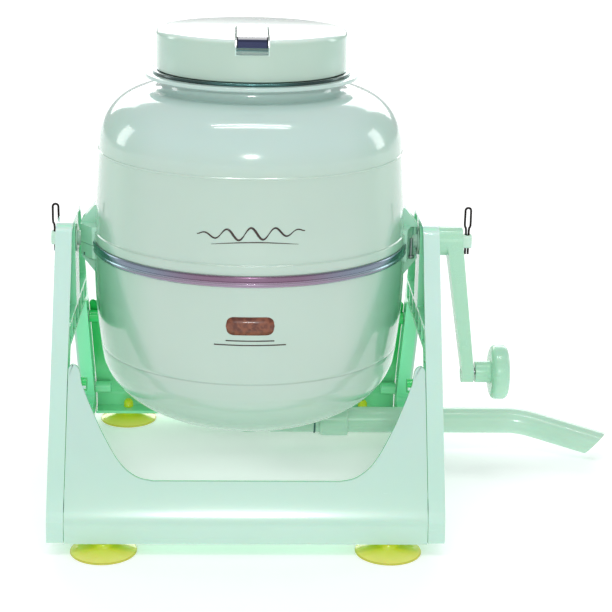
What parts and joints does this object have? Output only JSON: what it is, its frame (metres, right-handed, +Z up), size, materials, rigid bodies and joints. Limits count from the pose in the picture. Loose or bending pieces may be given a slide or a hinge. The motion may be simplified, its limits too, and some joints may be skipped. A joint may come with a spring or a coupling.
{
  "type": "hand-cranked clothes washer",
  "caption": "Small table-top clothes washer: a closed drum on two axles between side frames, tumbled by a crank, with a clamp lid, suction feet and a drain tube.",
  "frame": {"origin": "centre of the whole object in plan, on the surface that the cups stand on", "axes": "+X towards the crank along the drum axle, -Y towards the user, +Z up"},
  "size_m": [0.4811, 0.339, 0.387],
  "materials": {
    "mint_plastic": "glossy moulded ABS, pale mint",
    "drum_plastic": "glossy moulded ABS, pale grey-mint",
    "cup_vinyl": "clear yellow-green soft vinyl",
    "bright_metal": "bright plated",
    "spring_wire": "dark spring wire",
    "dark_rubber": "matt dark green rubber",
    "axle_steel": "turned steel",
    "white_acetal": "satin white acetal"
  },
  "bodies": {
    "stand": {"side_frame_left": "mint_plastic", "side_frame_right": "mint_plastic", "front_panel": "mint_plastic", "rear_panel": "mint_plastic", "bearing_bush_left": "white_acetal", "bearing_bush_right": "white_acetal", "suction_cup_front_left": "cup_vinyl", "suction_cup_front_right": "cup_vinyl", "suction_cup_rear_left": "cup_vinyl", "suction_cup_rear_right": "cup_vinyl", "foot_screw_front_left": "axle_steel", "foot_screw_front_right": "axle_steel", "foot_screw_rear_left": "axle_steel", "foot_screw_rear_right": "axle_steel", "horn_screw_front_left": "axle_steel", "horn_screw_front_right": "axle_steel", "horn_screw_rear_left": "axle_steel", "horn_screw_rear_right": "axle_steel"},
    "drum": {"drum_lower_shell": "drum_plastic", "drum_upper_shell": "drum_plastic", "drum_gasket": "dark_rubber", "drum_band_front": "bright_metal", "drum_band_rear": "bright_metal", "neck_ring": "bright_metal", "left_axle": "axle_steel", "right_axle": "axle_steel", "drum_screw_front_left": "axle_steel", "drum_screw_front_right": "axle_steel", "drum_screw_rear_left": "axle_steel", "drum_screw_rear_right": "axle_steel", "drain_valve_body": "mint_plastic", "drain_valve_nut": "mint_plastic", "crank_arm": "mint_plastic", "knob_pin": "axle_steel"},
    "knob": {"crank_knob": "mint_plastic"},
    "plug": {"drain_plug": "mint_plastic", "drain_plug_seal": "dark_rubber"},
    "lid": {"lid_cap": "drum_plastic", "lid_gasket": "dark_rubber"},
    "clamp": {"pressure_plate": "mint_plastic", "plate_seal": "dark_rubber", "draw_rod": "axle_steel", "lever_pin": "axle_steel"},
    "lever": {"lid_lever": "bright_metal"},
    "left_pin": {"left_split_pin": "spring_wire"},
    "right_pin": {"right_split_pin": "spring_wire"},
    "tube": {"drain_tube": "mint_plastic", "tube_collar": "mint_plastic", "tube_oring": "dark_rubber"}
  },
  "joints": [
    {"name": "drum_turn", "type": "hinge", "parent": "stand", "child": "drum", "pos_m": [-0.0801, 0, 0.212], "axis": [1, 0, 0], "continuous": true},
    {"name": "knob_spin", "type": "hinge", "parent": "drum", "child": "knob", "pos_m": [0.1254, 0, 0.098], "axis": [1, 0, 0], "continuous": true},
    {"name": "lid_lift", "type": "slide", "parent": "drum", "child": "lid", "axis": [0, 0, 1], "range_m": [0, 0.065]},
    {"name": "plate_draw", "type": "slide", "parent": "lid", "child": "clamp", "axis": [0, 0, 1], "range_m": [-0.00081, 0]},
    {"name": "lever_turn", "type": "hinge", "parent": "clamp", "child": "lever", "pos_m": [-0.0786, 0, 0.3825], "axis": [-1, 0, 0], "range_deg": [0, 95]},
    {"name": "plug_pull", "type": "slide", "parent": "drum", "child": "plug", "axis": [0, 0, -1], "range_m": [0, 0.03]},
    {"name": "left_pin_pull", "type": "slide", "parent": "drum", "child": "left_pin", "axis": [0, 0, 1], "range_m": [0, 0.045]},
    {"name": "right_pin_pull", "type": "slide", "parent": "drum", "child": "right_pin", "axis": [0, 0, 1], "range_m": [0, 0.045]},
    {"name": "tube_pull", "type": "slide", "parent": "stand", "child": "tube", "axis": [1, 0, 0], "range_m": [0, 0.045]}
  ],
  "couplings": [
    {"joint": "plate_draw", "follows": "lever_turn", "m_per_rad": -0.0004825}
  ]
}
